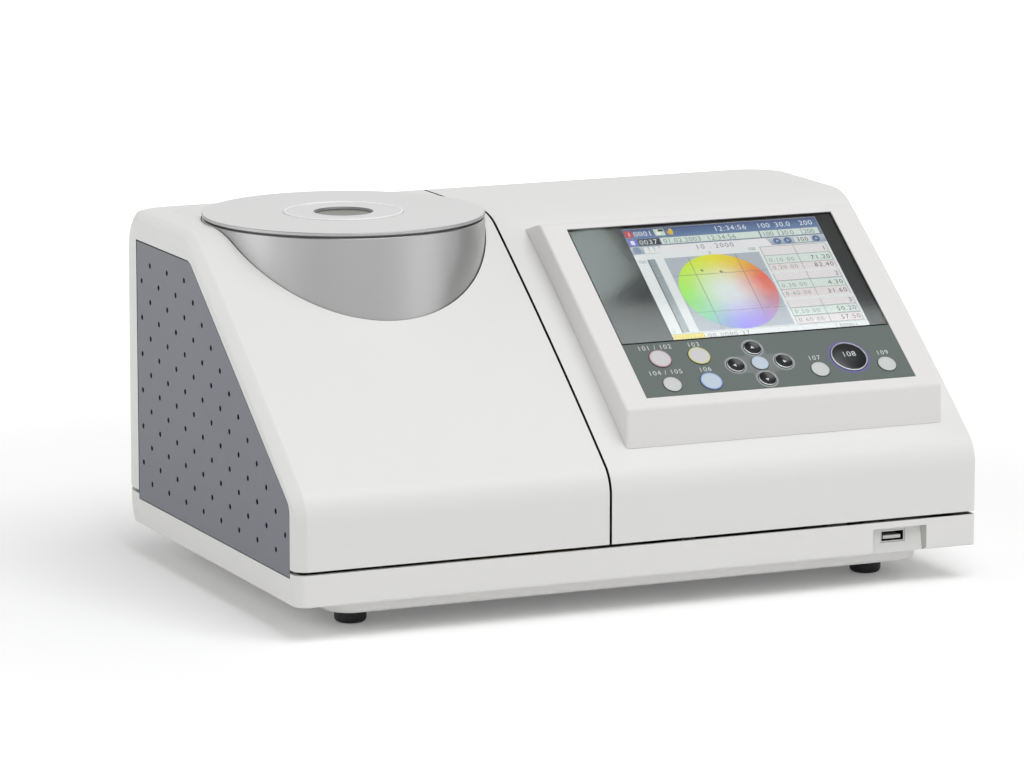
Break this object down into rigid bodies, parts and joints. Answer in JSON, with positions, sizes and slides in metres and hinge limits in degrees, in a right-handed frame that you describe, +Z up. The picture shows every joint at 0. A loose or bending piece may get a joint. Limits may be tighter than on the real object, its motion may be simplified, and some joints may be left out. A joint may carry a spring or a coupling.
{
  "type": "benchtop colorimeter",
  "caption": "Benchtop colour-measuring instrument: sliding sphere unit with a round top port, perforated side panel, and a fixed unit with screen and keypad.",
  "frame": {"origin": "on the bench, under the middle of the casing", "axes": "+X to the right seen from the front, +Y to the rear, +Z up; the keypad faces -Y"},
  "size_m": [0.385, 0.261, 0.192],
  "materials": {
    "white_casing": "fine satin moulded",
    "grey_panel": "satin",
    "bezel_white": "satin moulded",
    "window_glass": "clear",
    "display": "dark",
    "keypad_face": "printed satin film",
    "key_white": "satin",
    "key_dark": "satin",
    "key_blue": "satin",
    "brushed_drum": "vertical grain",
    "silver_plate": "bead blasted, anodised",
    "cast_metal": "as cast",
    "black_sheet": "matt black",
    "zinc_steel": "zinc plated",
    "ground_steel": "ground and polished",
    "bearing_bronze": "turned",
    "black_rubber": "matt",
    "black_plastic": "moulded",
    "board_green": "solder mask",
    "optical_glass": "polished"
  },
  "bodies": {
    "base": {"base_tray": "white_casing", "rubber_feet": "black_rubber", "foot_screws": "zinc_steel", "cover_screws": "zinc_steel", "guide_rods": "ground_steel", "rod_blocks": "cast_metal", "chamber_floor": "black_sheet", "right_cover": "white_casing", "display_bezel": "bezel_white", "display_glass": "window_glass", "lcd_module": "display", "keypad_panel": "keypad_face", "key_board": "board_green", "receiver_wall": "black_sheet", "chamber_shroud": "black_plastic", "receiver_lens": "optical_glass", "spectrometer_housing": "cast_metal", "main_circuit_board": "board_green", "board_screws": "zinc_steel", "rear_connector_plate": "zinc_steel", "power_switch_frame": "black_plastic", "dc_inlet": "black_plastic", "usb_b_socket": "zinc_steel", "serial_connector": "zinc_steel", "front_usb_socket": "zinc_steel", "front_usb_board": "board_green"},
    "carriage": {"carriage_plate": "zinc_steel", "slide_bushes": "bearing_bronze", "left_cover": "white_casing", "side_grille": "grey_panel", "port_drum": "brushed_drum", "port_base_ring": "cast_metal", "sphere_upper_half": "cast_metal", "sphere_lower_half": "cast_metal", "sphere_screws": "zinc_steel", "sphere_cradle": "black_plastic", "transmission_port_ring": "black_plastic", "carriage_wall": "black_sheet", "lamp_housing": "cast_metal", "flash_lamp": "optical_glass", "lamp_capacitor": "black_plastic"},
    "port_plate": {"port_plate": "silver_plate"},
    "target_mask": {"target_mask": "silver_plate"},
    "power_rocker": {"power_rocker": "black_plastic"},
    "sample_key": {"sample_key": "key_white"},
    "calibration_key": {"calibration_key": "key_white"},
    "detail_key": {"detail_key": "key_white"},
    "menu_key": {"menu_key": "key_white"},
    "up_key": {"up_key": "key_dark"},
    "down_key": {"down_key": "key_dark"},
    "left_key": {"left_key": "key_dark"},
    "right_key": {"right_key": "key_dark"},
    "enter_key": {"enter_key": "key_blue"},
    "back_key": {"back_key": "key_white"},
    "measure_key": {"measure_key": "key_dark"},
    "print_key": {"print_key": "key_white"}
  },
  "joints": [
    {"name": "slide_open", "type": "slide", "parent": "base", "child": "carriage", "axis": [-1, 0, 0], "range_m": [0, 0.09]},
    {"name": "plate_lift", "type": "slide", "parent": "carriage", "child": "port_plate", "axis": [0, 0, 1], "range_m": [0, 0.06]},
    {"name": "mask_lift", "type": "slide", "parent": "port_plate", "child": "target_mask", "axis": [0, 0, 1], "range_m": [0, 0.04]},
    {"name": "rocker_tilt", "type": "hinge", "parent": "base", "child": "power_rocker", "pos_m": [0.152, 0.1202, 0.074], "axis": [-1, 0, 0], "range_deg": [0, 12]},
    {"name": "sample_key_press", "type": "slide", "parent": "base", "child": "sample_key", "axis": [0, 0.592, -0.8059], "range_m": [0, 0.0008], "stiffness_N_per_m": 1500, "springref_m": -0.0003},
    {"name": "calibration_key_press", "type": "slide", "parent": "base", "child": "calibration_key", "axis": [0, 0.592, -0.8059], "range_m": [0, 0.0008], "stiffness_N_per_m": 1500, "springref_m": -0.0003},
    {"name": "detail_key_press", "type": "slide", "parent": "base", "child": "detail_key", "axis": [0, 0.592, -0.8059], "range_m": [0, 0.0008], "stiffness_N_per_m": 1500, "springref_m": -0.0003},
    {"name": "menu_key_press", "type": "slide", "parent": "base", "child": "menu_key", "axis": [0, 0.592, -0.8059], "range_m": [0, 0.0008], "stiffness_N_per_m": 1500, "springref_m": -0.0003},
    {"name": "up_key_press", "type": "slide", "parent": "base", "child": "up_key", "axis": [0, 0.592, -0.8059], "range_m": [0, 0.0008], "stiffness_N_per_m": 1500, "springref_m": -0.0003},
    {"name": "down_key_press", "type": "slide", "parent": "base", "child": "down_key", "axis": [0, 0.592, -0.8059], "range_m": [0, 0.0008], "stiffness_N_per_m": 1500, "springref_m": -0.0003},
    {"name": "left_key_press", "type": "slide", "parent": "base", "child": "left_key", "axis": [0, 0.592, -0.8059], "range_m": [0, 0.0008], "stiffness_N_per_m": 1500, "springref_m": -0.0003},
    {"name": "right_key_press", "type": "slide", "parent": "base", "child": "right_key", "axis": [0, 0.592, -0.8059], "range_m": [0, 0.0008], "stiffness_N_per_m": 1500, "springref_m": -0.0003},
    {"name": "enter_key_press", "type": "slide", "parent": "base", "child": "enter_key", "axis": [0, 0.592, -0.8059], "range_m": [0, 0.0008], "stiffness_N_per_m": 1500, "springref_m": -0.0003},
    {"name": "back_key_press", "type": "slide", "parent": "base", "child": "back_key", "axis": [0, 0.592, -0.8059], "range_m": [0, 0.0008], "stiffness_N_per_m": 1500, "springref_m": -0.0003},
    {"name": "measure_key_press", "type": "slide", "parent": "base", "child": "measure_key", "axis": [0, 0.592, -0.8059], "range_m": [0, 0.0008], "stiffness_N_per_m": 1500, "springref_m": -0.0003},
    {"name": "print_key_press", "type": "slide", "parent": "base", "child": "print_key", "axis": [0, 0.592, -0.8059], "range_m": [0, 0.0008], "stiffness_N_per_m": 1500, "springref_m": -0.0003}
  ]
}
